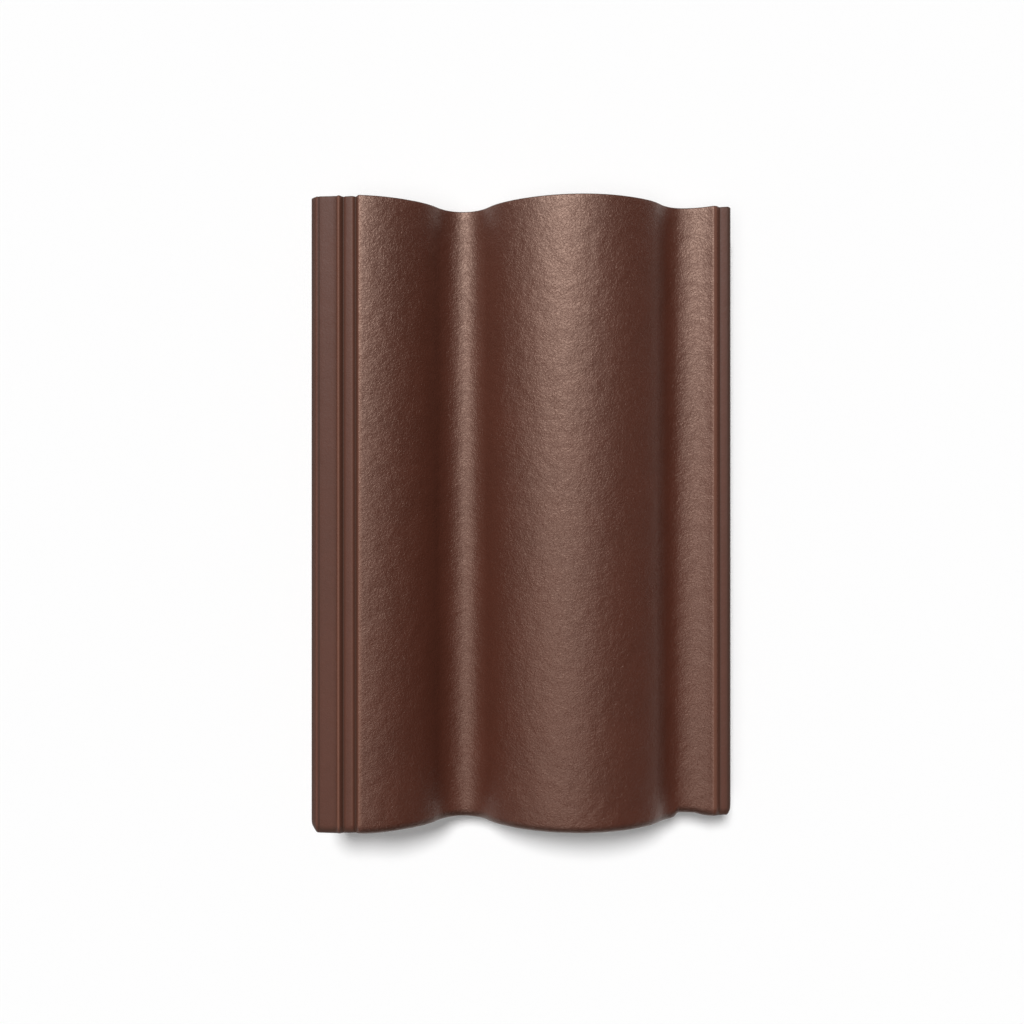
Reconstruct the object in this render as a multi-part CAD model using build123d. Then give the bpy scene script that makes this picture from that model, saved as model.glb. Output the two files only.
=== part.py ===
from build123d import *
from math import asin, atan, cos, degrees, radians, sin, sqrt
import os

# Double-roll interlocking roof tile, cast in one piece of coated concrete.
# It lies face up on its nibs and weather bar: X across the rolls, +Y to the head, Z up,
# with the origin at the middle of its outline, on the floor. Sizes are millimetres.

# Overall
tile_length = 420.0
wall = 11.5              # shell thickness, measured square to the face

# Widths across the face, from the left edge to the right edge
lock_width = 32.0        # side lap strip with its water channels
side_roll_inset = 8.2    # the side roll's top lies this far under the side lap strip
side_roll_to_valley = 75.0
valley_to_roll = 79.0
roll_to_pan = 71.5
pan_rise_width = 20.1    # from the pan's lowest line up to its lip
strip_width = 12.5       # plain strip outside the lip

# Depths below the crests of the rolls
valley_depth = 32.0
pan_depth = 27.0

# Curves of the face
valley_radius = 22.0
pan_rise_radius = 48.0
flank_extra_angle = 7.0    # how much steeper than the plain S-curve a flank gets
crest_ease_angle = 14.0    # how much sooner than the plain S-curve a crest arc ends

# Side lap strip, left: widths from the left edge, drops below the side roll's crest
bevel_width = 4.4
bevel_drop = 3.3
strip_drop = 2.8
crease_width = 1.6
crease_depth = 0.6
strip_rise = 0.5
rib_start = 17.4
rib_top_start = 18.5
rib_top_width = 0.8
rib_height = 1.4
slot_bottom = 21.5
slot_depth = 1.1
band_start = 23.1
band_width = 4.8
groove_bottom = 29.7
groove_depth = 0.9

# Lip and strip, right: widths from the lip, drops below the lip
lip_width = 2.0
lip_drop = 0.25
lip_groove_place = 4.8
lip_groove_drop = 2.9
outer_strip_start = 6.3
outer_strip_drop = 2.3
outer_strip_rise = 0.5
outer_edge_bevel = 1.8

# Nose, the lower end
nose_bevel_drop = 2.6
nose_bevel_length = 3.6
nose_corner_cut = 3.4      # cut off the left corner, both ways
notch_depth = 3.4          # shallow notch in the pan's nose
notch_start = 6.5          # from the pan's lowest line to the notch's left end, leftwards
notch_slope = 3.3
notch_width = 12.0
strip_setback = 2.2        # the lip and strip end this far short of the nose
setback_slope = 5.4
right_corner_cut = 2.0

# Weather bar under the nose, which follows the face
hang = 10.0                # height of the bar and the nibs below the valley's underside
bar_thickness = 12.0
bar_setback = 24.0         # nose to the bar

# Nibs under the head, which hook over the roof batten
nib_setback = 6.0
nib_length = 20.0
nib_width = 34.0
nib_draft = 5.0            # each side is this much wider at its root than at its tip
nib_back_slope = 4.0       # the back leans in by this much towards the tip

# Places that follow from the sizes
overall_width = (
    lock_width - side_roll_inset + side_roll_to_valley + valley_to_roll
    + roll_to_pan + pan_rise_width + strip_width
)
x_left = -overall_width / 2
x_right = overall_width / 2
x_arris = x_left + lock_width
x_side_roll = x_arris - side_roll_inset
x_valley = x_side_roll + side_roll_to_valley
x_roll = x_valley + valley_to_roll
x_pan = x_roll + roll_to_pan
x_lip = x_pan + pan_rise_width
y_nose = -tile_length / 2
y_head = tile_length / 2
z_crest = hang + wall + valley_depth
z_lip = z_crest - pan_depth + pan_rise_radius - sqrt(pan_rise_radius**2 - pan_rise_width**2)
pan_rise_angle = degrees(asin(pan_rise_width / pan_rise_radius))


def flank(half_width, depth):
    """Crest radius, shoulder radius, the angle between them and the steepest angle."""
    plain_angle = 2 * degrees(atan(depth / half_width))
    crest_angle = plain_angle - crest_ease_angle
    steep_angle = plain_angle + flank_extra_angle
    sin_crest, drop_crest = sin(radians(crest_angle)), 1 - cos(radians(crest_angle))
    sin_steep, drop_steep = sin(radians(steep_angle)), 1 - cos(radians(steep_angle))
    spread = sin_crest * drop_steep - sin_steep * drop_crest
    shoulder_and_valley = (sin_crest * depth - drop_crest * half_width) / spread
    crest_less_shoulder = (drop_steep * half_width - sin_steep * depth) / spread
    shoulder_radius = shoulder_and_valley - valley_radius
    crest_radius = crest_less_shoulder + shoulder_radius
    return crest_radius, shoulder_radius, crest_angle, steep_angle


def bend(point, heading, radius, turn):
    """One tangent arc: its edge, its end point and its end heading. A left turn is positive."""
    side = 1 if turn > 0 else -1
    centre_x = point[0] - side * radius * sin(radians(heading))
    centre_z = point[1] + side * radius * cos(radians(heading))

    def at(angle):
        return (
            centre_x + side * radius * sin(radians(angle)),
            centre_z - side * radius * cos(radians(angle)),
        )

    end = at(heading + turn)
    return ThreePointArc(point, at(heading + turn / 2), end), end, heading + turn


def wave(below, first_heading=0.0):
    """The face's curve from the side roll to the pan's lip, moved down by a thickness."""
    side = flank(side_roll_to_valley, valley_depth)
    left = flank(valley_to_roll, valley_depth)
    right = flank(roll_to_pan, pan_depth)
    turns = [
        (side[0] - below, -(side[2] + first_heading)),
        (side[1] - below, side[2] - side[3]),
        (valley_radius + below, side[3]),
        (valley_radius + below, left[3]),
        (left[1] - below, left[2] - left[3]),
        (left[0] - below, -left[2]),
        (right[0] - below, -right[2]),
        (right[1] - below, right[2] - right[3]),
        (valley_radius + below, right[3]),
        (pan_rise_radius + below, pan_rise_angle),
    ]
    heading = first_heading
    point = (
        x_side_roll - (side[0] - below) * sin(radians(heading)),
        z_crest - side[0] + (side[0] - below) * cos(radians(heading)),
    )
    edges, start = [], point
    for radius, turn in turns:
        edge, point, heading = bend(point, heading, radius, turn)
        edges.append(edge)
    return edges, start, point


def face_outline():
    """The whole upper outline, from the left edge to the right edge."""
    side_crest_radius = flank(side_roll_to_valley, valley_depth)[0]
    arris_heading = -degrees(asin(side_roll_inset / side_crest_radius))
    edges, arris, lip = wave(0.0, arris_heading)
    strip_z = z_crest - strip_drop
    rib_z = strip_z + strip_rise
    left_strip = Polyline(
        (x_left, strip_z - bevel_drop),
        (x_left + bevel_width, strip_z),
        (x_left + bevel_width + crease_width / 2, strip_z - crease_depth),
        (x_left + bevel_width + crease_width, strip_z),
        (x_left + rib_start, rib_z),
        (x_left + rib_top_start, rib_z + rib_height),
        (x_left + rib_top_start + rib_top_width, rib_z + rib_height),
        (x_left + slot_bottom, strip_z - slot_depth),
        (x_left + band_start, strip_z),
        (x_left + band_start + band_width, rib_z),
        (x_left + groove_bottom, strip_z - groove_depth),
        arris,
    )
    right_strip = Polyline(
        lip,
        (x_lip + lip_width, z_lip - lip_drop),
        (x_lip + lip_groove_place, z_lip - lip_groove_drop),
        (x_lip + outer_strip_start, z_lip - outer_strip_drop),
        (x_right - outer_edge_bevel, z_lip - outer_strip_drop + outer_strip_rise),
        (x_right, z_lip - outer_strip_drop + outer_strip_rise - outer_edge_bevel),
    )
    return left_strip.edges() + edges + right_strip.edges()


def section(edges, corners):
    """A face across the tile: the given edges, closed by straight lines through corners."""
    outline = Wire(edges)
    closing = Polyline(outline @ 1, *corners, outline @ 0)
    return Plane.XZ * make_face(list(edges) + closing.edges())


def shell():
    """The cast body before its nose is shaped: one section along the whole length."""
    upper = face_outline()
    lower, under_left, under_right = wave(wall)
    left_closing = Polyline(under_left, (x_left, under_left[1]), Wire(upper) @ 0)
    right_closing = Polyline(Wire(upper) @ 1, (x_right, under_right[1]), under_right)
    outline = list(upper) + right_closing.edges() + lower + left_closing.edges()
    return extrude(Plane.XZ * make_face(outline), tile_length / 2, both=True)


def weather_bar():
    """The bar across the underside, from the side roll to the pan's lip."""
    upper, top_left, top_right = wave(wall / 2)
    lower, bottom_left, bottom_right = wave(wall + hang)
    ends = [Line(top_left, bottom_left), Line(bottom_right, top_right)]
    bar = extrude(Plane.XZ * make_face(upper + lower + ends), -bar_thickness)
    return Pos(0, y_nose + bar_setback, 0) * bar


def below_mid_wall():
    """Everything between the floor and the middle of the shell's wall."""
    edges, start, end = wave(wall / 2)
    region = section(edges, [(end[0], 0.0), (start[0], 0.0)])
    return extrude(region, tile_length / 2, both=True)


def nib(x_middle):
    """One batten nib: drafted sides, a flat face towards the nose and a leaning back."""
    half_tip = nib_width / 2
    half_root = half_tip + nib_draft
    y_back = y_head - nib_setback
    y_front = y_back - nib_length
    across = Plane.XZ * make_face(Polyline(
        (x_middle - half_tip, 0.0),
        (x_middle + half_tip, 0.0),
        (x_middle + half_root, hang),
        (x_middle + half_root, z_crest),
        (x_middle - half_root, z_crest),
        (x_middle - half_root, hang),
        close=True,
    ))
    along = Plane.YZ * make_face(Polyline(
        (y_front, 0.0),
        (y_back - nib_back_slope, 0.0),
        (y_back, hang),
        (y_back, z_crest),
        (y_front, z_crest),
        close=True,
    ))
    block = extrude(across, tile_length / 2, both=True) & extrude(along, overall_width, both=True)
    return block & below_mid_wall()


def nose_bevel():
    """Everything under a sheet that falls with the face towards the nose."""
    rise = nose_bevel_drop / nose_bevel_length
    edges = face_outline()
    start, end = Wire(edges) @ 0, Wire(edges) @ 1
    margin = wall
    corners = [
        (end.X + margin, end.Y),
        (end.X + margin, -tile_length * rise - margin),
        (start.X - margin, -tile_length * rise - margin),
        (start.X - margin, start.Y),
    ]
    sheet = Pos(0, y_nose, -nose_bevel_drop) * section(edges, corners)
    slant = Vector(0, 1, rise)
    return extrude(sheet, slant.length * tile_length, dir=slant)


def nose_cut():
    """The plan outline cut off the nose: left corner, pan notch, set-back strip, right corner."""
    notch_left = x_pan - notch_start
    notch_right = notch_left + notch_slope + notch_width
    outline = Polyline(
        (x_left - wall, y_nose - wall),
        (x_left - wall, y_nose + nose_corner_cut + wall),
        (x_left, y_nose + nose_corner_cut),
        (x_left + nose_corner_cut, y_nose),
        (notch_left, y_nose),
        (notch_left + notch_slope, y_nose + notch_depth),
        (notch_right, y_nose + notch_depth),
        (notch_right + setback_slope, y_nose + strip_setback),
        (x_right - right_corner_cut, y_nose + strip_setback),
        (x_right, y_nose + strip_setback + right_corner_cut),
        (x_right + wall, y_nose + strip_setback + right_corner_cut + wall),
        (x_right + wall, y_nose - wall),
        close=True,
    )
    return extrude(make_face(outline), z_crest)


def roof_tile():
    """The tile: shell, weather bar and nibs cast as one solid, with its nose shaped."""
    tile = shell() & nose_bevel()
    tile = tile - nose_cut()
    return tile + weather_bar() + nib(x_valley) + nib(x_pan)


os.makedirs("parts", exist_ok=True)
export_step(roof_tile(), "parts/roof_tile.step")
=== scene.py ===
from collections import namedtuple
from math import pi, radians, tan

import bmesh
import bpy
import numpy as np
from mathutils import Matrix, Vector, noise
from mathutils.bvhtree import BVHTree


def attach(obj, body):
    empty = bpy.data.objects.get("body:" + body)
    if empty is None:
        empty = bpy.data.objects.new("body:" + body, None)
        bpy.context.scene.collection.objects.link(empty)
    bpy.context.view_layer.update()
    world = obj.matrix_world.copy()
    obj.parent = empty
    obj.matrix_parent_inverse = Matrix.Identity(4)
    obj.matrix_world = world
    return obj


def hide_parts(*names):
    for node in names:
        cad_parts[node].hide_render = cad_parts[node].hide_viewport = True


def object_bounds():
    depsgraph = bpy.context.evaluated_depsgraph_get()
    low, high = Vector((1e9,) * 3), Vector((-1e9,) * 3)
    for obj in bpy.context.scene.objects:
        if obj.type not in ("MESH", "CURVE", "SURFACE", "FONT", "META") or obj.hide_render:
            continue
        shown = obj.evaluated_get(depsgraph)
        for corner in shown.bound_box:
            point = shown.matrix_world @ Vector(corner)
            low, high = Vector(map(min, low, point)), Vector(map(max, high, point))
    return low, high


bl_info = {
    "name": "Double-roll roof tile",
    "version": (1, 0, 0),
    "blender": (4, 5, 0),
    "location": "3D View > Sidebar > Roof Tile",
    "description": "A brown coated concrete roof tile, lying on a white floor under soft light",
    "category": "Object",
}

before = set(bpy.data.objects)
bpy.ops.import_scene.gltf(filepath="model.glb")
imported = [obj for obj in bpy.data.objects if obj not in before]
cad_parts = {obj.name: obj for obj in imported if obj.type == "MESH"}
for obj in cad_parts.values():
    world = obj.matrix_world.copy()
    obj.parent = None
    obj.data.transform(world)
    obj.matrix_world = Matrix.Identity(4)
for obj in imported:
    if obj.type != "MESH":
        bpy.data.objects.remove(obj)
CAD_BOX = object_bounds()
NODE = "roof_tile"
MM = 0.001
TINY = 1e-6              # two points closer than this, in metres, are one
X_LEFT, X_RIGHT = CAD_BOX[0][0], CAD_BOX[1][0]
Y_NOSE, Y_HEAD = CAD_BOX[0][1], CAD_BOX[1][1]


def hex_colour(code):
    """An sRGB hex code as linear red, green, blue and an alpha of 1."""
    channels = [int(code[i:i + 2], 16) / 255 for i in (0, 2, 4)]
    linear = [c / 12.92 if c <= 0.04045 else ((c + 0.055) / 1.055) ** 2.4 for c in channels]
    return (*linear, 1.0)


def length(name, description, millimetres):
    """A length that a user would change, given in millimetres."""
    return bpy.props.FloatProperty(
        name=name, description=description, default=millimetres * MM, min=0.0, unit="LENGTH",
        precision=5)


def colour(name, description, code):
    """A colour that a user would change, given as an sRGB hex code."""
    return bpy.props.FloatVectorProperty(
        name=name, description=description, default=hex_colour(code), size=4, min=0.0,
        max=1.0, subtype="COLOR")


def strength(name, description, value):
    """The strength of a light, where 1 in all shows a colour about as it is written."""
    return bpy.props.FloatProperty(
        name=name, description=description, default=value, min=0.0, precision=3)


def lean(name, description, degrees):
    """An angle of a lamp that a user would change, given in degrees."""
    return bpy.props.FloatProperty(
        name=name, description=description, default=radians(degrees), subtype="ANGLE")


class CastBodySettings(bpy.types.PropertyGroup):
    """Sizes of the cast body. The section and the plan come from the CAD solid."""

    edge_softness: length("Edge softness", "How far the long arrises are rounded over", 0.5)
    nose_length: length("Nose length", "Length over which the nose rolls down", 6.2)
    nose_drop: length("Nose drop", "How far the face drops at the nose", 3.1)
    end_rounding: length("End rounding", "Rounding of the head and the lower edges", 0.9)
    raggedness: length("Nose raggedness", "How unevenly the nose was trimmed", 0.25)
    skew: length("Skew", "How far out of square the nose and the head were cut", 1.4)
    waviness: length("Waviness", "Unevenness that the extruder left in the face", 0.22)
    widest_step: length("Widest step", "Longest mesh edge across the face", 2.6)
    longest_step: length("Longest step", "Longest mesh edge along the face", 4.0)
    side_lap: length("Side lap", "Width of the side lap strip at the left", 32.0)
    outer_strip: length("Outer strip", "Width of the plain strip at the right", 12.5)
    bar_start: length("Bar setback", "From the nose to the weather bar", 24.0)
    bar_thickness: length("Bar thickness", "Thickness of the weather bar", 12.0)
    bar_left: length("Bar's left end", "From the left edge to the weather bar", 23.8)
    hang: length("Hang", "Height of the weather bar below the underside", 10.0)
    nib_width: length("Nib width", "Width of a nib at its tip", 34.0)
    nib_draft: length("Nib draft", "How much wider a nib's root is on each side", 5.0)
    nib_back: length("Nib back", "From the head to the back of a nib's root", 6.0)
    nib_length: length("Nib length", "Length of a nib at its root", 20.0)
    nib_lean: length("Nib lean", "How far a nib's back leans in at its tip", 4.0)
    fillet: length("Fillet", "Rounding where the bar and the nibs leave the underside", 2.0)
    tip_rounding: length("Tip rounding", "Rounding of the tips of the bar and the nibs", 1.4)


class CoatingSettings(bpy.types.PropertyGroup):
    """Colours, grain and gloss of the coated concrete"""

    coat: colour("Coat", "Brown acrylic coat of the face", "472014")
    # Lighter coat in random patches and on the grain bumps; on the bumps it is partly thinner coat
    # and partly painted shading of the grain.
    thin_coat_and_grain_light: colour("Thin coat", "Coat where it lies thin, on bumps and arrises", "54281B")
    # Painted shade: a darker coat put in grooves, the crease, along the side edges and round the
    # nose and the head, where they lie in shade. It is also the darker sand grains of the bare
    # concrete.
    painted_shade_and_dark_sand: colour("Hollows", "Coat that gathered in the channels", "35180E")
    # Painted highlight: a paler coat along the arrises, where they catch the light.
    painted_arris_highlight: colour("Worn coat", "Coat rubbed thin along the arrises", "7A4E3E")
    concrete: colour("Concrete", "Body concrete, coloured through", "6B5046")
    grain_size: length("Grain", "Width of the bumps that the sand gives the coat", 1.35)
    grain_height: length("Grain height", "Height of those bumps", 0.1)
    coat_roughness: bpy.props.FloatProperty(
        name="Coat roughness", description="Roughness of the coat", default=0.45, min=0,
        max=1, subtype="FACTOR")
    lap_roughness: bpy.props.FloatProperty(
        name="Lap roughness", description="Roughness of the side lap channels", default=0.9,
        min=0, max=1, subtype="FACTOR")
    gloss_coat: bpy.props.FloatProperty(
        name="Gloss coat", description="Weight of the clear top coat", default=0.45, min=0,
        max=1, subtype="FACTOR")
    warm_gloss: colour("Warm gloss", "Tint that light takes on between the grains", "FFD6BE")


class StageSettings(bpy.types.PropertyGroup):
    """The camera, the lamps and the floor"""

    camera_height: length("Camera height", "Camera above the crests of the rolls", 530)
    camera_side: length("Camera side step", "Camera's place left of the tile's middle", 8.65)
    camera_up: length("Camera lengthwise step", "Camera's place above the middle", 1.5)
    lens: bpy.props.FloatProperty(
        name="Lens", description="Focal length on a 36 mm sensor", default=28.59, min=10,
        unit="CAMERA")
    main: strength("Main light", "Irradiance of the light from the head's left", 0.71)
    main_left: lean("Main light from the left", "Its lean towards the left", 11)
    main_head: lean("Main light from the head", "Its lean towards the head", 31)
    main_width: lean("Main light's width", "Angle that the main light spans", 17)
    top: strength("Top light", "Irradiance of the light from above", 0.26)
    top_left: lean("Top light from the left", "Its lean towards the left", 14)
    top_nose: lean("Top light from the nose", "Its lean towards the nose", 12)
    top_width: lean("Top light's width", "Angle that the top light spans", 42)
    fill: strength("Fill light", "Strength of the light from all round", 0.05)
    floor_size: length("Floor", "Side of the floor", 12000)


# The tile's section


def head_outline(mesh_data):
    """The corners of the tile's section, in metres, walked round the solid's head face."""
    mesh = bmesh.new()
    mesh.from_mesh(mesh_data)
    bmesh.ops.remove_doubles(mesh, verts=mesh.verts, dist=TINY)
    head = {f for f in mesh.faces if all(v.co.y > Y_HEAD - TINY for v in f.verts)}
    neighbours = {}
    for edge in mesh.edges:
        if sum(f in head for f in edge.link_faces) == 1:
            first, second = edge.verts
            neighbours.setdefault(first, []).append(second)
            neighbours.setdefault(second, []).append(first)
    start = min(neighbours, key=lambda v: (round(v.co.x, 6), v.co.z))
    loop = [start, max(neighbours[start], key=lambda v: v.co.x)]
    while True:
        after = next(v for v in neighbours[loop[-1]] if v is not loop[-2])
        if after is start:
            break
        loop.append(after)
    outline = np.array([(v.co.x, v.co.z) for v in loop])
    mesh.free()
    return outline


def smooth_stretch(points, step):
    """Points every step along a smooth curve through the given points, without the last."""
    chords = np.linalg.norm(np.diff(points, axis=0), axis=1)
    along = np.concatenate([[0], np.cumsum(chords)])
    count = max(2, int(round(along[-1] / step)))
    wanted = np.linspace(0, along[-1], count, endpoint=False)
    if len(points) == 2:
        share = (wanted / along[-1])[:, None]
        return points[0] * (1 - share) + points[1] * share
    slopes = np.diff(points, axis=0) / chords[:, None]
    inner = slopes[:-1] * chords[1:, None] + slopes[1:] * chords[:-1, None]
    inner = inner / (chords[:-1] + chords[1:])[:, None]
    tangents = np.vstack([2 * slopes[0] - inner[0], inner, 2 * slopes[-1] - inner[-1]])
    cell = np.clip(np.searchsorted(along, wanted, side="right") - 1, 0, len(chords) - 1)
    width = chords[cell][:, None]
    t = ((wanted - along[cell]) / chords[cell])[:, None]
    return (
        points[cell] * (2 * t**3 - 3 * t**2 + 1)
        + tangents[cell] * width * (t**3 - 2 * t**2 + t)
        + points[cell + 1] * (3 * t**2 - 2 * t**3)
        + tangents[cell + 1] * width * (t**3 - t**2)
    )


def blur_weights(sigma, step):
    """The offsets that a blur adds up, and the weight of each."""
    reach = int(4 * sigma / step) + 1
    offsets = np.arange(-reach, reach + 1)
    weights = np.exp(-0.5 * (offsets * step / sigma) ** 2)
    return offsets, weights / weights.sum()


def blur_loop(values, sigma, step):
    """A closed row of values, blurred along its length."""
    offsets, weights = blur_weights(sigma, step)
    return sum(w * np.roll(values, -k, axis=0) for k, w in zip(offsets, weights))


STEP = 0.15 * MM          # spacing of the points that the section is read at
CORNER = radians(14)      # the section has a corner where it turns by more than this
RELIEF_BLUR = 1.5 * MM    # grooves and arrises about this wide get painted shade and a painted highlight in the coat's colour


def tile_section(softness):
    """The section as a closed loop: sharp points, soft points, relief and four corners.

    The relief is above 0 on arrises and below 0 in grooves. The corners are places in the
    loop, which starts at the low left one and runs along the underside first.
    """
    outline = head_outline(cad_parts[NODE].data)
    before = outline - np.roll(outline, 1, axis=0)
    after = np.roll(outline, -1, axis=0) - outline
    turn = np.arctan2(after[:, 1], after[:, 0]) - np.arctan2(before[:, 1], before[:, 0])
    turn = (turn + pi) % (2 * pi) - pi
    corners = np.flatnonzero(np.abs(turn) > CORNER)
    runs, places = [], {}
    for first, last in zip(corners, [*corners[1:], corners[0] + len(outline)]):
        places[first] = sum(len(r) for r in runs)
        runs.append(smooth_stretch(outline[np.arange(first, last + 1) % len(outline)], STEP))
    sharp = np.vstack(runs)
    on_left = [c for c in corners if outline[c, 0] < X_LEFT + TINY]
    on_right = [c for c in corners if outline[c, 0] > X_RIGHT - TINY]
    marks = {
        "low_left": places[min(on_left, key=lambda c: outline[c, 1])],
        "high_left": places[max(on_left, key=lambda c: outline[c, 1])],
        "low_right": places[min(on_right, key=lambda c: outline[c, 1])],
        "high_right": places[max(on_right, key=lambda c: outline[c, 1])],
    }
    start = marks["low_left"]
    marks = {name: (place - start) % len(sharp) for name, place in marks.items()}
    sharp = np.roll(sharp, -start, axis=0)
    soft = blur_loop(sharp, softness, STEP)
    relief = soft[:, 1] - blur_loop(sharp, RELIEF_BLUR, STEP)[:, 1]
    return sharp, soft, relief, marks


# The tile's plan and underside


EDGE_GAP = 0.02 * MM      # the outermost rays start this far inside the sides
RAY_RUN_UP = 100 * MM     # and this far in front of the nose


def nose_line(xs, zs):
    """Where level rays along the tile first meet the solid's nose, at each x."""
    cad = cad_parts[NODE].data
    solid = BVHTree.FromPolygons(
        [v.co for v in cad.vertices], [tuple(p.vertices) for p in cad.polygons])
    xs = np.clip(xs, X_LEFT + EDGE_GAP, X_RIGHT - EDGE_GAP)
    along = Vector((0, 1, 0))
    start_y = Y_NOSE - RAY_RUN_UP
    hits = [solid.ray_cast(Vector((x, start_y, z)), along) for x, z in zip(xs, zs)]
    return np.array([hit[0].y for hit in hits])


def blur_row(values, sigma, step):
    """An open row of values, blurred along its length."""
    offsets, weights = blur_weights(sigma, step)
    return np.convolve(np.pad(values, offsets[-1], mode="edge"), weights, "valid")


def ripple(point, size, seed):
    """Smooth noise from -1 to 1, with waves of about the given size."""
    return noise.noise(Vector(point) / size + Vector((seed, -seed, 2 * seed)))


def smoothstep(value, low, high):
    """0 up to low and 1 from high on, with a smooth rise between."""
    share = np.clip((value - low) / (high - low), 0, 1)
    return share * share * (3 - 2 * share)


def near(distance, full, none):
    """1 up to the distance full and 0 from the distance none on, with a smooth fall between."""
    return smoothstep(-distance, -none, -full)


def raised_profile(front, back, back_lean, height, fillet, tip):
    """Points (y, height) along a bar's outline in side view, with its corners rounded."""
    corners = [(front, 0.0), (front, height), (back - back_lean, height), (back, 0.0)]
    radii = [fillet, tip, tip, fillet]
    before = [(front - 3 * fillet, 0.0), *corners[:-1]]
    after = [*corners[1:], (back + 3 * fillet, 0.0)]
    points = []
    for corner, radius, last, following in zip(corners, radii, before, after):
        corner, last, following = Vector(corner), Vector(last), Vector(following)
        first = corner + (last - corner).normalized() * radius
        second = corner + (following - corner).normalized() * radius
        for t in (0, 0.25, 0.5, 0.75, 1):
            points.append(first * (1 - t)**2 + corner * 2 * t * (1 - t) + second * t**2)
    return points


def length_plan(shape):
    """Rings along the tile, as (y of the face, y of the underside, bar height, nib height)."""
    bar_front = Y_NOSE + shape.bar_start
    bar = raised_profile(
        bar_front, bar_front + shape.bar_thickness, 0, shape.hang, shape.fillet,
        shape.tip_rounding)
    nib_back = Y_HEAD - shape.nib_back
    nib = raised_profile(
        nib_back - shape.nib_length, nib_back, shape.nib_lean, shape.hang, shape.fillet,
        shape.tip_rounding)

    def plain(start, end):
        count = max(1, int(round((end - start) / shape.longest_step)))
        return [(y, y, 0.0, 0.0) for y in np.linspace(start, end, count + 1)[1:-1]]

    def raised(profile, is_bar):
        ys = np.linspace(profile[0].x, profile[-1].x, len(profile))
        return [
            (y, p.x, p.y if is_bar else 0.0, 0.0 if is_bar else p.y / shape.hang)
            for y, p in zip(ys, profile)
        ]

    start, end = Y_NOSE + shape.nose_length, Y_HEAD - shape.end_rounding
    return [
        *plain(start, bar[0].x), *raised(bar, True), *plain(bar[-1].x, nib[0].x),
        *raised(nib, False), *plain(nib[-1].x, end),
    ]


FLANK_STEP = 0.9 * MM     # widest column over a nib's drafted sides
MOST_TURN = radians(8)    # a column ends once the section has turned this far,
MOST_SETBACK = 0.5 * MM   # or once the nose has moved this far
NOSE_DEPTH = 4 * MM       # the nose is read this far below the face, under its bevel
NOSE_BLUR = 0.6 * MM      # softness of the corners in its plan


def nib_lines(section, hang):
    """The x of each lowest line of the underside, where the nibs stand."""
    _, soft, _, marks = section
    line = soft[marks["low_left"]:marks["low_right"] + 1]
    dips = [
        i for i in range(1, len(line) - 1)
        if line[i, 1] < line[i - 1, 1] and line[i, 1] <= line[i + 1, 1]
        and line[i, 1] < 2 * hang
    ]
    return sorted({round(float(line[i, 0]), 4) for i in dips})


def columns(section, shape, nib_middles):
    """Places across the face, closer together where the section, nose or nibs change."""
    sharp, soft, _, marks = section
    places = np.arange(marks["high_left"], marks["high_right"] - 1, -1)
    legs = np.diff(soft[places], axis=0)
    travelled = np.concatenate([[0], np.cumsum(np.linalg.norm(legs, axis=1))])
    heading = np.unwrap(np.arctan2(legs[:, 1], legs[:, 0]))
    turned = np.concatenate([[0], np.cumsum(np.abs(np.diff(heading, prepend=heading[0])))])
    xs = sharp[places, 0]
    nose = blur_row(nose_line(xs, soft[places, 1] - NOSE_DEPTH), NOSE_BLUR, STEP)
    moved = np.concatenate([[0], np.cumsum(np.abs(np.diff(nose)))])
    flank = np.zeros(len(xs))
    for middle in nib_middles:
        off = np.abs(xs - middle) - shape.nib_width / 2
        flank += (off > -shape.fillet) & (off < shape.nib_draft + shape.fillet)
    widest = np.where(flank > 0, FLANK_STEP, shape.widest_step)
    chosen = [0]
    for i in range(1, len(places) - 1):
        last = chosen[-1]
        far = travelled[i] - travelled[last] >= widest[i]
        bent = turned[i] - turned[last] >= MOST_TURN
        if far or bent or moved[i] - moved[last] >= MOST_SETBACK:
            chosen.append(i)
    chosen.append(len(places) - 1)
    return places[chosen], nose[chosen]


# Making the cast body


NOSE_ANGLES = np.radians([90, 74, 58, 43, 29, 15, 0])
HEAD_ANGLES = np.radians([0, 30, 60, 90])
SIDE_ROWS = 6             # rows of faces up the tile's sides and ends
SIDE_POINTS = SIDE_ROWS - 1

CHANNEL_BLUR = 3 * MM     # the trowel rounded the nose, and the channels run out there
CORNER_REACH = 3 * MM     # the ends' rounding also draws in the sides over this width
BAR_REACH = 9 * MM        # beside the bar and the nibs the mesh rows still follow them
NIB_REACH = 14 * MM
NIB_BLEND = 0.5 * MM
NOSE_REACH = 20 * MM      # the rings follow the trimmed nose this far in
NOSE_SQUARE = 12 * MM     # under the tile the skew ends here, short of the bar and nibs
HEAD_SQUARE = 4.5 * MM
TRIM_WAVE = 9 * MM        # the nose was trimmed in slow waves,
TRIM_CHIP = 2.6 * MM      # with finer chips
LONG_WAVE = 42 * MM       # the extruder left long and short waves in the face
SHORT_WAVE = 11 * MM

# Painted shade, a darker coat where the edges, the crease, the nose and the head lie in shade: how
# much, full up to, gone from
LEFT_EDGE_SHADE = (1.8, 0.7 * MM, 2.0 * MM)
LEFT_BEVEL_SHADE = (0.8, 3.4 * MM, 4.4 * MM)
RIGHT_BEVEL_SHADE = (3.0, 1.8 * MM, 3.4 * MM)
CREASE_PAINTED_SHADE = 1.3
CREASE_PLACE = 5.8 * MM   # from the left edge
CREASE_WIDTH = 0.6 * MM
NOSE_PAINTED_SHADE = 2.3
HEAD_PAINTED_SHADE = 1.4
HEAD_PAINTED_SHADE_RINGS = 3
FULL_RELIEF = 0.5 * MM    # a groove or arris this high counts as 1

# A ring round the section: points (x, z), the same with no channels, how far up from the
# underside (0) to the face (1) each is, its column, and the number of columns
Ring = namedtuple("Ring", "points plain up column across")


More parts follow.
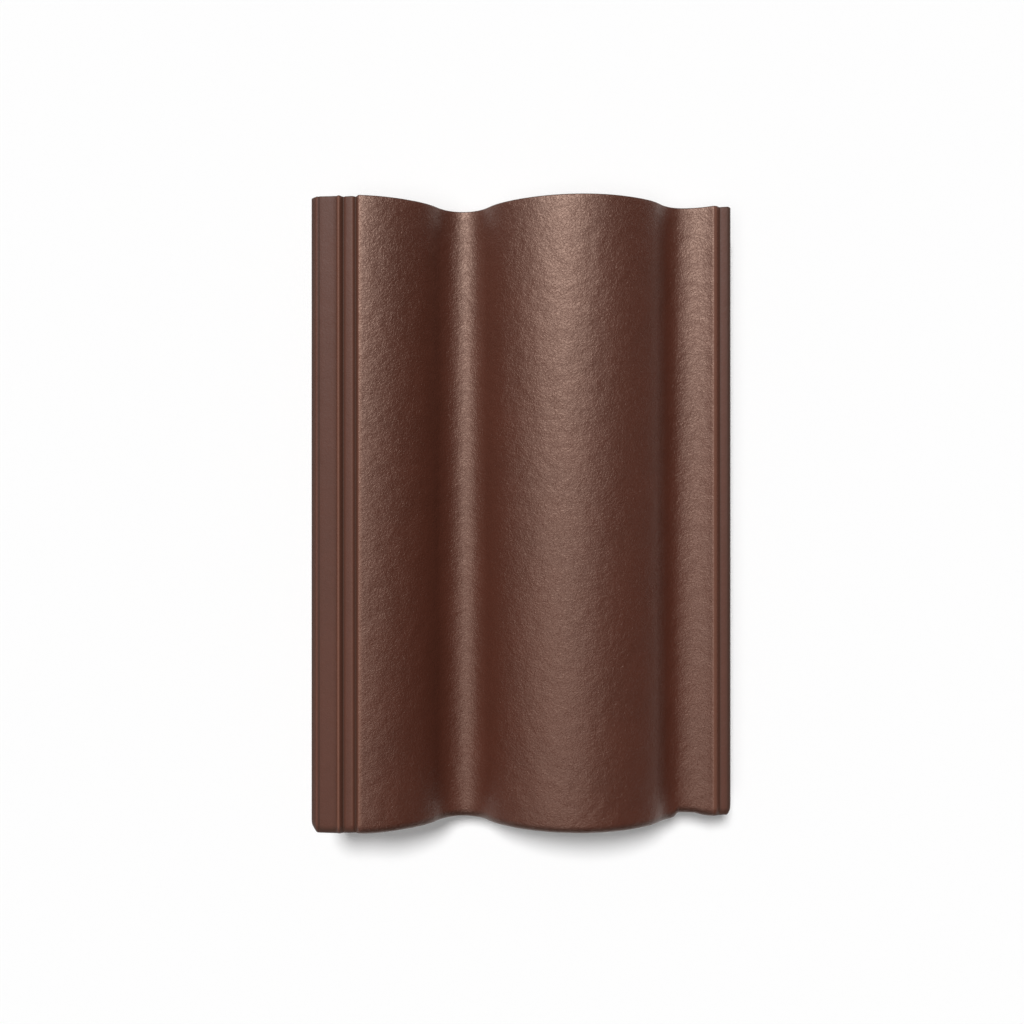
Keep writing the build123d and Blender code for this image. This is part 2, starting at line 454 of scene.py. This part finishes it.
def body_ring(section, places):
    """The ring along the underside, up the right side, back over the face and down the left."""
    sharp, soft, _, marks = section
    under = np.arange(marks["low_left"], marks["low_right"] + 1)
    along = np.interp(sharp[places, 0], sharp[under, 0], np.arange(len(under)))
    lower = np.column_stack([
        np.interp(along, np.arange(len(under)), soft[under, axis]) for axis in (0, 1)])
    right = np.linspace(marks["low_right"], marks["high_right"], SIDE_ROWS + 1)[1:-1]
    left = np.linspace(marks["high_left"], len(soft), SIDE_ROWS + 1)[1:-1]
    right, left = soft[right.round().astype(int)], soft[left.round().astype(int)]
    plain_face = blur_loop(sharp, CHANNEL_BLUR, STEP)[places]
    across = len(places)
    rise = np.arange(1, SIDE_ROWS) / SIDE_ROWS
    return Ring(
        np.vstack([lower, right, soft[places][::-1], left]),
        np.vstack([lower, right, plain_face[::-1], left]),
        np.concatenate([np.zeros(across), rise, np.ones(across), rise[::-1]]),
        np.concatenate([
            np.arange(across), np.full(SIDE_POINTS, across - 1), np.arange(across)[::-1],
            np.zeros(SIDE_POINTS, int)]),
        across,
    )


def trimmed_nose(xs, nose, raggedness):
    """The nose's y at each column, trimmed a little unevenly."""
    ragged = np.array([
        0.5 + 0.5 * ripple((x, 0.3, 0.1), TRIM_WAVE, 3.1)
        + 0.35 * ripple((x, 0.1, 0.7), TRIM_CHIP, 8.4) for x in xs])
    return nose + raggedness * np.clip(ragged, 0, 1)


def drawn_in(x, rounding):
    """How far the sides are drawn in where the tile's ends are rounded."""
    near_left = np.exp((X_LEFT - x) / CORNER_REACH)
    near_right = np.exp((x - X_RIGHT) / CORNER_REACH)
    return rounding * (near_left - near_right)


def nose_rings(ring, nose_y, shape):
    """Rings from the nose's end back over its rounding."""
    x, z = ring.points.T
    pull_in = drawn_in(x, shape.end_rounding)
    roll = shape.nose_length * ring.up + shape.end_rounding * (1 - ring.up)
    drop = -shape.nose_drop * ring.up + shape.end_rounding * (1 - ring.up)
    rings = []
    for angle in NOSE_ANGLES:
        fall = 1 - np.cos(angle)
        rings.append(np.column_stack([
            x + pull_in * fall,
            nose_y + roll * (1 - np.sin(angle)),
            z * (1 - fall) + ring.plain[:, 1] * fall + drop * fall,
        ]))
    return rings


def bar_shares(x, shape):
    """How far each point goes down with the weather bar, and how far its row follows it."""
    left, right = X_LEFT + shape.bar_left, X_RIGHT - shape.outer_strip
    half, whole = 0.5 * shape.fillet, shape.fillet
    under = smoothstep(x, left - half, left + whole) * near(x, right - whole, right + half)
    beside = smoothstep(x, left - BAR_REACH, left) * near(x, right, right + BAR_REACH)
    return under, beside


def nib_shares(x, shape, nib_middles):
    """How far each point goes down with the nibs, and how far its row follows them."""
    under, beside = np.zeros(len(x)), np.zeros(len(x))
    for middle in nib_middles:
        off = np.abs(x - middle) - shape.nib_width / 2
        under = np.maximum(under, near(off, -NIB_BLEND, shape.nib_draft + NIB_BLEND))
        beside = np.maximum(beside, near(off, shape.nib_draft, NIB_REACH))
    return under, beside


def middle_rings(ring, nose_y, shape, nib_middles):
    """Rings between the two ends, pressed down into the weather bar and the nibs."""
    x, face_z = ring.points.T
    under_bar, beside_bar = bar_shares(x, shape)
    under_nib, beside_nib = nib_shares(x, shape, nib_middles)
    rings = []
    for y_face, y_under, bar_height, nib_height in length_plan(shape):
        follow = beside_bar if bar_height else beside_nib
        y = y_face + (y_under - y_face) * follow * (1 - ring.up)
        inward = (y_face - Y_NOSE - shape.nose_length) / NOSE_REACH
        y = y + (nose_y - Y_NOSE) * max(0, 1 - inward)
        z = face_z - (1 - ring.up) * bar_height * under_bar
        z = z * (1 - (1 - ring.up) * nib_height * under_nib)
        rings.append(np.column_stack([x, y, z]))
    return rings


def head_rings(ring, shape):
    """Rings over the head's small rounding."""
    x, z = ring.points.T
    pull_in = drawn_in(x, shape.end_rounding)
    drop = shape.end_rounding * (1 - 2 * ring.up)
    rings = []
    for angle in HEAD_ANGLES:
        fall = 1 - np.cos(angle)
        y = Y_HEAD - shape.end_rounding * (1 - np.sin(angle))
        rings.append(np.column_stack([x + pull_in * fall, np.full(len(x), y), z + drop * fall]))
    return rings


def skew_ends(points, up, skew):
    """Cut the ends a little out of square, and leave the bar and the nibs square."""
    y = points[:, :, 1]
    share = (points[:, :, 0] - X_LEFT) / (X_RIGHT - X_LEFT)
    travel = (y - Y_NOSE) / (Y_HEAD - Y_NOSE)
    near_end = np.maximum(
        near(y, Y_NOSE, Y_NOSE + NOSE_SQUARE), smoothstep(y, Y_HEAD - HEAD_SQUARE, Y_HEAD))
    weight = up + (1 - up) * near_end
    points[:, :, 1] += skew * weight * (share * (1 - travel) - (1 - share) * travel)


def sink_face(points, across, waviness):
    """Make the face uneven, always into the tile, so that it stays inside its size."""
    face = range(across + SIDE_POINTS, 2 * across + SIDE_POINTS)
    for row in points:
        for i in face:
            long_wave, short_wave = ripple(row[i], LONG_WAVE, 1.7), ripple(row[i], SHORT_WAVE, 5.2)
            row[i, 2] -= waviness * (0.5 + 0.5 * (0.6 * long_wave + 0.4 * short_wave))


def coat_layers(section, places, ring, count, shape):
    """Three values at each point: the coat's cover, the side strips, and painted shade below 0
    with a painted highlight above 0.
    """
    x = ring.points[:, 0]
    coat = np.tile(ring.up, (count, 1))
    coat[-1] = 0
    strips = (x < X_LEFT + shape.side_lap) | (x > X_RIGHT - shape.outer_strip)
    lap = np.tile(strips * 1.0, (count, 1))
    relief = section[2][places][::-1]
    relief = np.concatenate([
        np.zeros(ring.across + SIDE_POINTS), relief, np.zeros(SIDE_POINTS)])
    # Painted shade in the grooves, below 0, and a painted highlight on the arrises, above 0, by
    # how deep or high they are.
    painted_shade_and_highlight = np.tile(relief / FULL_RELIEF, (count, 1))
    # Painted shade that deepens round the nose as it turns down.
    for j, angle in enumerate(NOSE_ANGLES):
        painted_shade_and_highlight[j] -= NOSE_PAINTED_SHADE * np.sqrt(1 - np.cos(angle))
    # Painted shade along the rounded side edges and the bevels.
    to_left, to_right = x - X_LEFT, X_RIGHT - x
    for distance, (amount, full, none) in (
        (to_left, LEFT_EDGE_SHADE), (to_left, LEFT_BEVEL_SHADE), (to_right, RIGHT_BEVEL_SHADE),
    ):
        painted_shade_and_highlight -= amount * near(distance, full, none)
    # Painted shade in the crease beside the left bevel.
    painted_shade_and_highlight -= CREASE_PAINTED_SHADE * np.exp(-((to_left - CREASE_PLACE) / CREASE_WIDTH) ** 2)
    # Painted shade: a dark line along the head's edge.
    painted_shade_and_highlight[-HEAD_PAINTED_SHADE_RINGS:] -= HEAD_PAINTED_SHADE
    return {"coat": coat.ravel().tolist(), "lap": lap.ravel().tolist(),
            "painted_shade_and_highlight": painted_shade_and_highlight.ravel().tolist()}


def close_end(verts, faces, layers, start, across, coated, faces_out):
    """Close one end with a grid between the underside and the face."""
    size = 2 * (across + SIDE_POINTS)
    high = [start + 2 * across + SIDE_POINTS - 1 - i for i in range(across)]
    grid = [[start + i for i in range(across)]]
    for m in range(1, SIDE_ROWS):
        row = [start + size - m]
        for i in range(1, across - 1):
            bottom, top = Vector(verts[start + i]), Vector(verts[high[i]])
            verts.append(tuple(bottom.lerp(top, m / SIDE_ROWS)))
            layers["coat"].append(coated * m / SIDE_ROWS)
            layers["lap"].append(0.0)
            layers["painted_shade_and_highlight"].append(0.0)
            row.append(len(verts) - 1)
        row.append(start + across + m - 1)
        grid.append(row)
    grid.append(high)
    for below, above in zip(grid, grid[1:]):
        for i in range(across - 1):
            face = (below[i], below[i + 1], above[i + 1], above[i])
            faces.append(face if faces_out else face[::-1])


def cast_body_mesh(shape):
    """The tile as rings along its length, closed by a grid at the nose and at the head."""
    section = tile_section(shape.edge_softness)
    nib_middles = nib_lines(section, shape.hang)
    places, nose = columns(section, shape, nib_middles)
    ring = body_ring(section, places)
    nose_y = trimmed_nose(section[0][places, 0], nose, shape.raggedness)[ring.column]
    points = np.array([
        *nose_rings(ring, nose_y, shape), *middle_rings(ring, nose_y, shape, nib_middles),
        *head_rings(ring, shape),
    ])
    skew_ends(points, ring.up, shape.skew)
    sink_face(points, ring.across, shape.waviness)
    count, size = points.shape[:2]
    layers = coat_layers(section, places, ring, count, shape)

    verts, faces = points.reshape(-1, 3).tolist(), []
    for j in range(count - 1):
        for i in range(size):
            k = (i + 1) % size
            faces.append((j * size + i, j * size + k, (j + 1) * size + k, (j + 1) * size + i))
    close_end(verts, faces, layers, 0, ring.across, 1.0, True)
    close_end(verts, faces, layers, (count - 1) * size, ring.across, 0.0, False)
    mesh = bpy.data.meshes.new("cast_body")
    mesh.from_pydata(verts, [], faces)
    for name, values in layers.items():
        layer = mesh.attributes.new(name, "FLOAT", "POINT")
        layer.data.foreach_set("value", np.array(values, np.float32))
    mesh.update()
    mesh.shade_smooth()
    return mesh


# The material


WRINKLE_SIZE = 1.2        # width of the coat's wrinkles, as a share of the grain
LUMP_SIZE = 9 * MM        # slow unevenness of the sprayed coat
LUMP_HEIGHT = 0.5 * MM
BLOTCH_SIZE = 38 * MM     # patches where the coat is thicker or thinner
SAND_SIZE = 1.1 * MM      # drawn a little coarser than real sand, so that it shows
BARE_ROUGHNESS = 0.9
PAINT_IOR = 1.6           # acrylic full of pigment, over quartz sand
PAINT_GLOSS = 0.72        # matched to the highlights on the rolls, where 0.5 is plain
CLEAR_IOR = 1.49          # clear acrylic
CLEAR_ROUGHNESS = 0.5
WRINKLE_SHARE = 0.6       # share of the wrinkles in the grain, beside the rounded bumps
LAP_RELIEF = 0.5          # share of the relief that is left in the side lap channels
ARRIS_HIGHLIGHT_SHARE = 0.7          # how strongly the painted highlight lies on the sharpest arrises


def add_node(tree, kind, settings, links):
    """A node of a kind, with its settings and the values or sockets that feed it."""
    node = tree.nodes.new(kind)
    for name, value in settings.items():
        setattr(node, name, value)
    for socket, value in links.items():
        if isinstance(value, bpy.types.NodeSocket):
            tree.links.new(value, node.inputs[socket])
        else:
            node.inputs[socket].default_value = value
    return node


def coated_concrete_material(coating):
    """Extruded concrete, coloured through, with a sprayed brown acrylic coat on its face.

    The eye sees a satin, leathery skin over sand grains, whose highlights are beige because
    light takes on the coat's warmth between the grains. It is smoother and duller in the side
    lap channels. Its colour holds painted shade in grooves, in the crease, along the side
    edges and round the nose and the head, a painted highlight along the arrises, and lighter
    grain bumps, partly thinner coat and partly painted shading. Bare, sandy concrete shows on
    the underside and the head.
    """
    material = bpy.data.materials.new("acrylic_coated_extruded_concrete")
    material.use_nodes = True
    tree = material.node_tree
    tree.nodes.clear()

    place = add_node(tree, "ShaderNodeTexCoord", {}, {}).outputs["Object"]
    coat = add_node(tree, "ShaderNodeAttribute", {"attribute_name": "coat"}, {}).outputs["Fac"]
    lap = add_node(tree, "ShaderNodeAttribute", {"attribute_name": "lap"}, {}).outputs["Fac"]
    painted_shade_and_highlight = add_node(
        tree, "ShaderNodeAttribute", {"attribute_name": "painted_shade_and_highlight"}, {}).outputs["Fac"]

    # Leathery skin: rounded bumps about as wide as the sand grains under the coat, crossed
    # by fine wrinkles where the coat dried
    cells = add_node(
        tree, "ShaderNodeTexVoronoi", {"feature": "SMOOTH_F1"},
        {"Vector": place, "Scale": 1 / coating.grain_size, "Smoothness": 0.7,
         "Randomness": 1.0}).outputs["Distance"]
    skin = add_node(
        tree, "ShaderNodeTexNoise", {},
        {"Vector": place, "Scale": 1 / (WRINKLE_SIZE * coating.grain_size), "Detail": 0.5,
         "Distortion": 0.6}).outputs["Fac"]
    off_line = add_node(
        tree, "ShaderNodeMath", {"operation": "SUBTRACT"}, {0: skin, 1: 0.5}).outputs[0]
    off_line = add_node(
        tree, "ShaderNodeMath", {"operation": "ABSOLUTE"}, {0: off_line}).outputs[0]
    wrinkles = add_node(
        tree, "ShaderNodeMapRange", {"interpolation_type": "SMOOTHSTEP"},
        {"Value": off_line, "From Min": 0.0, "From Max": 0.12, "To Min": 1.0, "To Max": 0.0}
    ).outputs["Result"]
    bumps = add_node(
        tree, "ShaderNodeMapRange", {"interpolation_type": "SMOOTHSTEP"},
        {"Value": cells, "From Min": 0.0, "From Max": 0.9, "To Min": 1.0, "To Max": 0.0}
    ).outputs["Result"]
    grain = add_node(
        tree, "ShaderNodeMix", {"data_type": "FLOAT"}, {0: WRINKLE_SHARE, 2: bumps, 3: wrinkles}
    ).outputs[0]
    lumps = add_node(
        tree, "ShaderNodeTexNoise", {},
        {"Vector": place, "Scale": 1 / LUMP_SIZE, "Detail": 2.0}).outputs["Fac"]
    blotches = add_node(
        tree, "ShaderNodeTexNoise", {},
        {"Vector": place, "Scale": 1 / BLOTCH_SIZE, "Detail": 3.0, "Roughness": 0.55}
    ).outputs["Fac"]

    # Colour of the coat: patches, lighter grain bumps (thinner coat and painted shading), painted
    # shade in hollows and round the ends, painted highlight on arrises
    tone = add_node(
        tree, "ShaderNodeMath", {"operation": "MULTIPLY_ADD", "use_clamp": True},
        {0: blotches, 1: 0.9, 2: -0.15}).outputs[0]
    # Grain bumps get the lighter coat: partly thinner coat on their tops, partly painted shading
    # of the grain.
    tone = add_node(
        tree, "ShaderNodeMath", {"operation": "MULTIPLY_ADD", "use_clamp": True},
        {0: grain, 1: 0.35, 2: tone}).outputs[0]
    skin_colour = add_node(
        tree, "ShaderNodeMix", {"data_type": "RGBA"},
        {0: tone, 6: coating.coat, 7: coating.thin_coat_and_grain_light}).outputs[2]
    # Painted shade: the darker coat where the layer is below 0.
    painted_shade = add_node(
        tree, "ShaderNodeMapRange", {},
        {"Value": painted_shade_and_highlight, "From Min": -0.1, "From Max": -1.0}).outputs["Result"]
    # Painted highlight: the paler coat on arrises, where the layer is above 0.
    painted_arris_highlight = add_node(
        tree, "ShaderNodeMapRange", {},
        {"Value": painted_shade_and_highlight, "From Min": 0.15, "From Max": 0.8, "To Max": ARRIS_HIGHLIGHT_SHARE}
    ).outputs["Result"]
    skin_colour = add_node(
        tree, "ShaderNodeMix", {"data_type": "RGBA"},
        {0: painted_shade, 6: skin_colour, 7: coating.painted_shade_and_dark_sand}).outputs[2]
    skin_colour = add_node(
        tree, "ShaderNodeMix", {"data_type": "RGBA"},
        {0: painted_arris_highlight, 6: skin_colour, 7: coating.painted_arris_highlight}).outputs[2]

    # Bare concrete: sand grains of mixed shades, which also give it its relief
    sand = add_node(
        tree, "ShaderNodeTexNoise", {},
        {"Vector": place, "Scale": 1 / SAND_SIZE, "Detail": 4.0, "Roughness": 0.75}
    ).outputs["Fac"]
    sand_shade = add_node(
        tree, "ShaderNodeMapRange", {},
        {"Value": sand, "From Min": 0.3, "From Max": 0.7}).outputs["Result"]
    bare_colour = add_node(
        tree, "ShaderNodeMix", {"data_type": "RGBA"},
        {0: sand_shade, 6: coating.painted_shade_and_dark_sand, 7: coating.concrete}).outputs[2]
    cover = add_node(
        tree, "ShaderNodeMapRange", {"interpolation_type": "SMOOTHSTEP"},
        {"Value": coat, "From Min": 0.25, "From Max": 0.7}).outputs["Result"]
    base = add_node(
        tree, "ShaderNodeMix", {"data_type": "RGBA"},
        {0: cover, 6: bare_colour, 7: skin_colour}).outputs[2]

    # Relief and gloss: the side lap channels are smoother, and reflect less sharply
    height = add_node(
        tree, "ShaderNodeMix", {"data_type": "FLOAT"}, {0: cover, 2: sand, 3: grain}
    ).outputs[0]
    bump_share = add_node(
        tree, "ShaderNodeMapRange", {}, {"Value": lap, "To Min": 1.0, "To Max": LAP_RELIEF}
    ).outputs["Result"]
    broad = add_node(
        tree, "ShaderNodeBump", {},
        {"Height": lumps, "Distance": LUMP_HEIGHT, "Strength": bump_share}).outputs["Normal"]
    bump = add_node(
        tree, "ShaderNodeBump", {},
        {"Height": height, "Distance": coating.grain_height, "Strength": bump_share,
         "Normal": broad}).outputs["Normal"]
    coat_roughness = add_node(
        tree, "ShaderNodeMapRange", {},
        {"Value": lap, "To Min": coating.coat_roughness, "To Max": coating.lap_roughness}
    ).outputs["Result"]
    roughness = add_node(
        tree, "ShaderNodeMapRange", {},
        {"Value": cover, "To Min": BARE_ROUGHNESS, "To Max": coat_roughness}).outputs["Result"]
    shader = add_node(
        tree, "ShaderNodeBsdfPrincipled", {},
        {"Base Color": base, "Roughness": roughness, "IOR": PAINT_IOR, "Normal": bump,
         "Specular IOR Level": PAINT_GLOSS, "Specular Tint": coating.warm_gloss,
         "Coat Weight": coating.gloss_coat, "Coat Roughness": CLEAR_ROUGHNESS,
         "Coat IOR": CLEAR_IOR, "Coat Normal": bump}
    ).outputs["BSDF"]
    add_node(tree, "ShaderNodeOutputMaterial", {}, {"Surface": shader})
    return material


class TILE_OT_cast_body(bpy.types.Operator):
    """Make the tile: shell, lap strips, nose, nibs and weather bar, cast in one piece"""

    bl_idname = "tile.cast_body"
    bl_label = "Cast Body"

    def execute(self, context):
        mesh = cast_body_mesh(context.scene.tile_body)
        mesh.materials.append(coated_concrete_material(context.scene.tile_coating))
        tile = bpy.data.objects.new("cast_tile", mesh)
        context.collection.objects.link(tile)
        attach(tile, "root")
        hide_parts(NODE)
        return {"FINISHED"}


PAPER = 0.97              # share of light that white backdrop paper sends back
WALL_TOP = 0.1            # the white walls end here, as a share of the way up to overhead


def floor_material():
    """Matt white paper sweep, which shows as white and keeps the tile's shadow."""
    material = bpy.data.materials.new("matt_white_backdrop_paper")
    material.use_nodes = True
    shader = material.node_tree.nodes["Principled BSDF"]
    shader.inputs["Base Color"].default_value = (PAPER, PAPER, PAPER, 1)
    shader.inputs["Roughness"].default_value = 1.0
    shader.inputs["Specular IOR Level"].default_value = 0.0
    return material


def white_world(fill):
    """A white studio with a dark ceiling, which gives a little fill light.

    The camera sees white all round. Reflections see the white low down, where the floor
    meets it, and the dark ceiling that the lamps hang under.
    """
    world = bpy.data.worlds.new("white_studio")
    world.use_nodes = True
    tree = world.node_tree
    tree.nodes.clear()
    rays = add_node(tree, "ShaderNodeLightPath", {}, {})
    mirrored = add_node(
        tree, "ShaderNodeMath", {"operation": "MAXIMUM"},
        {0: rays.outputs["Is Glossy Ray"], 1: rays.outputs["Is Transmission Ray"]}).outputs[0]
    place = add_node(tree, "ShaderNodeTexCoord", {}, {}).outputs["Generated"]
    height = add_node(tree, "ShaderNodeSeparateXYZ", {}, {"Vector": place}).outputs["Z"]
    walls = add_node(
        tree, "ShaderNodeMapRange", {"interpolation_type": "SMOOTHSTEP"},
        {"Value": height, "From Min": 0.0, "From Max": WALL_TOP, "To Min": 1.0, "To Max": 0.0}
    ).outputs["Result"]
    unseen = add_node(
        tree, "ShaderNodeMapRange", {},
        {"Value": mirrored, "To Min": fill, "To Max": walls}).outputs["Result"]
    strength_seen = add_node(
        tree, "ShaderNodeMapRange", {},
        {"Value": rays.outputs["Is Camera Ray"], "To Min": unseen, "To Max": 1.0}
    ).outputs["Result"]
    background = add_node(
        tree, "ShaderNodeBackground", {},
        {"Color": (1, 1, 1, 1), "Strength": strength_seen}).outputs["Background"]
    add_node(tree, "ShaderNodeOutputWorld", {}, {"Surface": background})
    return world


def add_sun(collection, name, irradiance, from_left, from_head, width):
    """A distant soft lamp, leaning towards the left and the head by the given angles.

    Its irradiance is what a level surface gets, where 1 shows a colour about as written.
    """
    lamp = bpy.data.lights.new(name, "SUN")
    towards = Vector((-tan(from_left), tan(from_head), 1)).normalized()
    lamp.energy = pi * irradiance / towards.z
    lamp.angle = width
    sun = bpy.data.objects.new(name, lamp)
    sun.rotation_euler = towards.to_track_quat("Z", "Y").to_euler()
    sun.location = towards
    collection.objects.link(sun)


class TILE_OT_stage(bpy.types.Operator):
    """Set the white floor, the two soft lamps and the camera overhead"""

    bl_idname = "tile.stage"
    bl_label = "Stage"

    def execute(self, context):
        scene = context.scene
        stage = scene.tile_stage
        half = stage.floor_size / 2
        mesh = bpy.data.meshes.new("floor")
        corners = [(-half, -half, 0), (half, -half, 0), (half, half, 0), (-half, half, 0)]
        mesh.from_pydata(corners, [], [(0, 1, 2, 3)])
        mesh.materials.append(floor_material())
        floor = bpy.data.objects.new("floor", mesh)
        context.collection.objects.link(floor)

        add_sun(
            context.collection, "main_light", stage.main, stage.main_left, stage.main_head,
            stage.main_width)
        add_sun(
            context.collection, "top_light", stage.top, stage.top_left, -stage.top_nose,
            stage.top_width)
        scene.world = white_world(stage.fill)

        data = bpy.data.cameras.new("camera")
        data.lens = stage.lens
        camera = bpy.data.objects.new("camera", data)
        crest = CAD_BOX[1][2]
        camera.location = (-stage.camera_side, stage.camera_up, crest + stage.camera_height)
        context.collection.objects.link(camera)
        scene.camera = camera
        scene.view_settings.view_transform = "Standard"
        return {"FINISHED"}


class TILE_PT_panel(bpy.types.Panel):
    """Lists the tile's operators and their settings"""

    bl_idname = "TILE_PT_panel"
    bl_label = "Roof Tile"
    bl_space_type = "VIEW_3D"
    bl_region_type = "UI"
    bl_category = "Roof Tile"

    def draw(self, context):
        scene = context.scene
        for operator, groups in (
            (TILE_OT_cast_body, (scene.tile_body, scene.tile_coating)),
            (TILE_OT_stage, (scene.tile_stage,)),
        ):
            box = self.layout.box()
            box.operator(operator.bl_idname)
            for group in groups:
                for name in group.__annotations__:
                    box.prop(group, name)


CLASSES = (
    CastBodySettings, CoatingSettings, StageSettings, TILE_OT_cast_body, TILE_OT_stage,
    TILE_PT_panel,
)


def register():
    """Tell Blender of the classes, and give the scene their settings."""
    for cls in CLASSES:
        bpy.utils.register_class(cls)
    bpy.types.Scene.tile_body = bpy.props.PointerProperty(type=CastBodySettings)
    bpy.types.Scene.tile_coating = bpy.props.PointerProperty(type=CoatingSettings)
    bpy.types.Scene.tile_stage = bpy.props.PointerProperty(type=StageSettings)


def unregister():
    """Undo what register did."""
    del bpy.types.Scene.tile_body, bpy.types.Scene.tile_coating, bpy.types.Scene.tile_stage
    for cls in reversed(CLASSES):
        bpy.utils.unregister_class(cls)


def main():
    """Make the tile and the stage."""
    register()
    bpy.ops.tile.cast_body()
    bpy.ops.tile.stage()
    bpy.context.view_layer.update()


if __name__ == "__main__":
    main()
